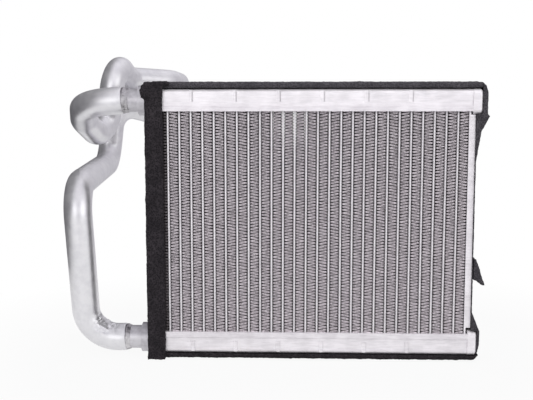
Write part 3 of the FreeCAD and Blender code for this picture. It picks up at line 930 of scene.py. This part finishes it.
@dataclass
class FoamStrip:
    """A strip of open-cell foam: the frame's solid with its scraps, remeshed and roughened.

    A level above 0.5 lets the lumps or the torn cells swell the strip less than they hollow it.
    """

    node: bpy.types.Object
    material: bpy.types.Material
    scraps: tuple[FoamScrap, ...] = ()
    voxel: float = 1.0
    lump: float = 0.7
    lump_size: float = 9.0
    lump_level: float = 0.75
    torn: float = 0.7
    torn_size: float = 1.5
    torn_level: float = 0.80

    def build(self) -> bpy.types.Object:
        """Build the strip from a copy of its node.

        Returns:
            The finished piece.
        """
        name = self.node.name
        foam = copy_of(self.node, name + "_torn")
        # The copy starts clean, without the CAD node's parent and properties.
        foam.parent = None
        for key in list(foam.keys()):
            del foam[key]
        with edit_mode(foam):
            bpy.ops.mesh.select_all(action="SELECT")
            bpy.ops.mesh.remove_doubles(threshold=MERGE)
        scraps = [scrap.build() for scrap in self.scraps]
        select_only(foam)
        for scrap in scraps:
            scrap.select_set(True)
        if scraps:
            bpy.ops.object.join()
        apply_modifier(foam, "REMESH", {
            "mode": "VOXEL", "voxel_size": self.voxel * MM, "use_smooth_shade": True,
        })
        for tag, scale, strength, level in (
            ("lumps", self.lump_size, self.lump, self.lump_level),
            ("cells", self.torn_size, self.torn, self.torn_level),
        ):
            texture = bpy.data.textures.new(f"{name}_{tag}", "CLOUDS")
            texture.noise_scale = scale * MM
            apply_modifier(foam, "DISPLACE", {
                "texture": texture, "strength": strength * MM,
                "mid_level": level, "texture_coords": "GLOBAL",
            })
        return hand_over(foam, name + "_torn", self.material, (name,))


@dataclass(frozen=True)
class Wall:
    """A side of the studio as metal mirrors it: where it lies, how it fades in, shade and glow."""

    towards: Point
    start: float
    full: float
    shade: str
    glow: float = 1.0

    def colour(self) -> Colour:
        """Give the wall's linear colour times its glow."""
        red, green, blue, alpha = linear(self.shade)
        return (red * self.glow, green * self.glow, blue * self.glow, alpha)


@dataclass(frozen=True)
class Lamp:
    """A soft square lamp: where it stands and its side in metres, and its power in watts."""

    name: str
    place: Point
    side: float
    power: float


# Each wall is laid over the ones before it: ceiling, pale side, two softboxes and dark side.
WALLS = (
    Wall((0.0, 0.35, 1.0), 0.30, 1.0, "#d6d4da"),
    Wall((1.0, 0.45, 0.0), 0.55, 1.0, "#bfbdc2"),
    Wall((0.83, -0.56, 0.1), 0.88, 0.99, "#ffffff", 1.5),
    Wall((-0.2, -0.97, 0.1), 0.90, 0.99, "#ffffff", 1.5),
    Wall((-1.0, 0.25, 0.2), 0.05, 0.75, "#232127"),
)
LAMPS = (
    Lamp("Key lamp", (0.4, -1.1, 0.9), 0.7, 9.2),
    Lamp("Fill lamp", (-0.7, -0.9, 0.7), 0.6, 4.0),
    Lamp("Top lamp", (0.0, 0.1, 1.2), 0.8, 6.5),
)


@dataclass
class Studio:
    """Camera at the photograph's viewing angle, pale floor, white background and soft lamps.

    The floor, the lamps and the nearest depth that the camera sees are given in metres.
    """

    eye: Point = (-13.5, -549.0, 167.0)
    yaw_left: float = 1.81
    pitch_down: float = 6.04
    focal_pixels: float = 800.0
    frame_pixels: float = 533.0
    sensor: float = 36.0
    nearest: float = 0.01
    floor_side: float = 0.7
    floor_top: float = -0.0005
    shade_reach: tuple[float, float] = (0.18, 0.33)
    shade_least: float = 0.93
    floor_mirrored: float = 0.85
    ambient: Colour = (0.6, 0.6, 0.61, 1.0)
    mirrored_shade: str = "#d0cfd4"
    lamps_aim: Point = (-0.03, 0.0, 0.1)

    def add_camera(self) -> None:
        """Add the camera and make it the scene's own."""
        data = bpy.data.cameras.new("Photo camera")
        data.sensor_width = self.sensor
        data.lens = self.focal_pixels / self.frame_pixels * self.sensor
        data.clip_start = self.nearest
        camera = bpy.data.objects.new("Photo camera", data)
        bpy.context.scene.collection.objects.link(camera)
        camera.location = Vector(self.eye) * MM
        camera.rotation_euler = (
            math.radians(90 - self.pitch_down), 0, math.radians(self.yaw_left),
        )
        bpy.context.scene.camera = camera

    def add_floor(self) -> None:
        """Lay the pale floor that the core stands on; it shows white, with the core's shadow."""
        deselect_everything()
        bpy.ops.mesh.primitive_plane_add(size=self.floor_side, location=(0, 0, self.floor_top))
        floor = bpy.context.object
        floor.name = "Floor"
        material, tree = new_material("White paper floor")
        path = add_node(tree, "ShaderNodeLightPath")
        seen = add_node(
            tree, "ShaderNodeMath", {"operation": "MAXIMUM"},
            {0: path.outputs["Is Camera Ray"], 1: path.outputs["Is Glossy Ray"]},
        )
        # Metal mirrors the paper a little greyer than the camera sees it.
        strength = add_node(
            tree, "ShaderNodeMapRange", {"To Min": 1.0, "To Max": self.floor_mirrored},
            {"Value": path.outputs["Is Glossy Ray"]},
        )
        place = add_node(tree, "ShaderNodeTexCoord").outputs["Object"]
        away = add_node(tree, "ShaderNodeVectorMath", {"operation": "LENGTH"}, {0: place})
        bright = add_node(
            tree, "ShaderNodeMapRange",
            {
                "From Min": self.shade_reach[0], "From Max": self.shade_reach[1],
                "To Min": self.shade_least,
            },
            {"Value": away.outputs["Value"]},
        )
        share = add_node(
            tree, "ShaderNodeMath", {"operation": "MULTIPLY"},
            {0: seen.outputs["Value"], 1: bright.outputs["Result"]},
        )
        paper = add_node(tree, "ShaderNodeBsdfDiffuse", {"Color": linear("#a6a6a8")})
        glow = add_node(
            tree, "ShaderNodeEmission", {"Color": WHITE}, {"Strength": strength.outputs["Result"]},
        )
        both = add_node(
            tree, "ShaderNodeMixShader", None,
            {0: share.outputs["Value"], 1: paper.outputs["BSDF"], 2: glow.outputs["Emission"]},
        )
        add_node(tree, "ShaderNodeOutputMaterial", None, {"Surface": both.outputs["Shader"]})
        floor.data.materials.append(material)

    def add_world(self) -> None:
        """Fill the world with soft grey light; the camera sees white and the metal soft walls."""
        world = bpy.data.worlds.new("Soft studio")
        bpy.context.scene.world = world
        world.use_nodes = True
        tree = world.node_tree
        tree.nodes.clear()
        path = add_node(tree, "ShaderNodeLightPath")
        seen = add_node(tree, "ShaderNodeTexCoord").outputs["Generated"]
        mirrored = add_node(tree, "ShaderNodeRGB").outputs["Color"]
        mirrored.default_value = linear(self.mirrored_shade)
        for wall in WALLS:
            reach = add_node(
                tree, "ShaderNodeVectorMath", {"operation": "DOT_PRODUCT", 1: wall.towards},
                {0: seen},
            )
            share = add_node(
                tree, "ShaderNodeMapRange",
                {
                    "interpolation_type": "SMOOTHSTEP",
                    "From Min": wall.start, "From Max": wall.full,
                },
                {"Value": reach.outputs["Value"]},
            )
            mirrored = add_node(
                tree, "ShaderNodeMix", {"data_type": "RGBA", 7: wall.colour()},
                {0: share.outputs["Result"], 6: mirrored},
            ).outputs[2]
        soft = add_node(
            tree, "ShaderNodeMix", {"data_type": "RGBA", 6: self.ambient},
            {0: path.outputs["Is Glossy Ray"], 7: mirrored},
        )
        colour = add_node(
            tree, "ShaderNodeMix", {"data_type": "RGBA", 7: WHITE},
            {0: path.outputs["Is Camera Ray"], 6: soft.outputs[2]},
        )
        light = add_node(tree, "ShaderNodeBackground", None, {"Color": colour.outputs[2]})
        add_node(tree, "ShaderNodeOutputWorld", None, {"Surface": light.outputs["Background"]})

    def add_lamp(self, lamp: Lamp) -> None:
        """Hang one lamp, turned to the core's middle; metal doesn't mirror it.

        Args:
            lamp: The lamp.
        """
        data = bpy.data.lights.new(lamp.name, "AREA")
        data.shape = "SQUARE"
        data.size = lamp.side
        data.energy = lamp.power
        holder = bpy.data.objects.new(lamp.name, data)
        bpy.context.scene.collection.objects.link(holder)
        holder.location = lamp.place
        holder.visible_glossy = False
        aim = Vector(self.lamps_aim) - Vector(lamp.place)
        holder.rotation_euler = aim.to_track_quat("-Z", "Y").to_euler()

    def build(self) -> None:
        """Set up the whole studio."""
        bpy.context.scene.view_settings.view_transform = "Standard"
        self.add_camera()
        self.add_floor()
        self.add_world()
        for lamp in LAMPS:
            self.add_lamp(lamp)


@dataclass
class MetalParts:
    """CAD nodes whose shape stays: tubes, plates, tank covers, caps and necks, in their finish."""

    nodes: dict[str, bpy.types.Object]
    sheet: bpy.types.Material = field(default_factory=SHEET.build)
    tube: bpy.types.Material = field(default_factory=TUBE.build)
    pipe: bpy.types.Material = field(default_factory=PIPE.build)
    neck: bpy.types.Material = field(default_factory=NECK.build)
    header: bpy.types.Material = field(default_factory=HEADER.build)

    def dress(self) -> None:
        """Give each kept node the material of its finish."""
        for name, node in self.nodes.items():
            if name.startswith("flat_tube"):
                finish = self.tube
            elif name.endswith("neck"):
                finish = self.neck
            elif "pipe" in name:
                finish = self.pipe
            elif "header" in name:
                finish = self.header
            elif "foam" in name or "fin_strips" in name:
                continue
            else:
                finish = self.sheet
            node.data.materials.clear()
            node.data.materials.append(finish)


def bent_pipes(material: bpy.types.Material) -> list[BentPipe]:
    """Lay out both pipes from their necks to their open ends behind the core.

    Args:
        material: The pipes' material.

    Returns:
        The upper and the lower pipe.
    """
    return [
        BentPipe(
            "upper_bent_pipe", "upper_pipe",
            (
                (NECK_END_X, 0, UPPER_NECK_Z), (-156.625, 0, 175.2), (-170.025, 50, 163.5),
                (-163.125, 92, 144.7), (-152.625, 84, 209.6), (-151.525, 130, 198),
                (-119.525, 158, 197), (-119.525, PIPE_END_Y, 197),
            ),
            (24, 24, 15, 16, 18, 20), material,
        ),
        BentPipe(
            "lower_bent_pipe", "lower_pipe",
            (
                (NECK_END_X, 0, LOWER_NECK_Z), (-157.025, 0, 10.5), (-158.525, -18, 119.2),
                (-167.025, 118, 127.9), (-162.425, 124, 177.6), (-112.025, 163, 163),
                (-112.025, PIPE_END_Y, 163),
            ),
            (22, 20, 19, 19, 20), material, wrinkled=(-143.0, -6.5, 23.0),
        ),
    ]


def foam_strips(nodes: dict[str, bpy.types.Object]) -> list[FoamStrip]:
    """Lay out the foam seal, with the scraps that turn its corners.

    Args:
        nodes: The frame's CAD nodes by name.

    Returns:
        The four strips and the loose patch.
    """
    foam = FOAM.build()
    # The top and right strips and the loose patch get the foam painted greyer, as painted light.
    lit_foam = LIT_FOAM.build()
    # The flat strips bend round the right end caps towards the right strip.
    top_bend = FoamScrap((113.2, 0.0, 186.9), (5.5, 28.0, 2.6), 45.0)
    bottom_bend = FoamScrap((112.0, 0.0, 3.4), (5.4, 28.0, 2.6), -45.0)
    left_corner = (
        FoamScrap((-100.8, -15.0, 188.2), (11.5, 6.0, 3.6), 1.0),
        FoamScrap((-112.4, -16.0, 181.4), (5.0, 5.5, 6.6), -8.0),
        FoamScrap((-112.6, -16.0, 186.4), (3.2, 4.5, 2.0), -14.0),
    )
    return [
        FoamStrip(nodes["top_foam_strip"], lit_foam, (top_bend,)),
        FoamStrip(nodes["bottom_foam_strip"], foam, (bottom_bend,)),
        FoamStrip(nodes["loose_foam_patch"], lit_foam),
        # The right strip is thin beside the side plate, so its mesh is finer and less rough.
        FoamStrip(
            nodes["right_foam_strip"], lit_foam, voxel=0.5,
            lump=0.3, lump_level=0.5, torn=0.35, torn_level=0.5,
        ),
        FoamStrip(nodes["left_foam_strip"], foam, left_corner, lump=1.0),
    ]


def main() -> None:
    """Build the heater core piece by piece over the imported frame, and report each piece."""
    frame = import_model()
    Studio().build()
    log.info("studio set up")
    metal = MetalParts(frame["nodes"])
    metal.dress()
    log.info("CAD nodes dressed")
    braze = BRAZE.build()
    makers = [
        *bent_pipes(metal.pipe),
        BrazeRing("upper_braze_ring", UPPER_NECK_Z, 4.6, braze),
        BrazeRing("lower_braze_ring", LOWER_NECK_Z, 3.2, braze),
        PlateTab("right_plate_tab", (103.95, -12.5, 165.2), (108.2, -11.4, 167.5), metal.sheet),
        *foam_strips(frame["nodes"]),
    ]
    for piece in (*FinPack(FOIL.build()).build(), *(maker.build() for maker in makers)):
        log.info("%s: %d faces", piece.name, len(piece.data.polygons))


if __name__ == "__main__":
    logging.basicConfig(level=logging.INFO, format="%(name)s: %(message)s")
    main()
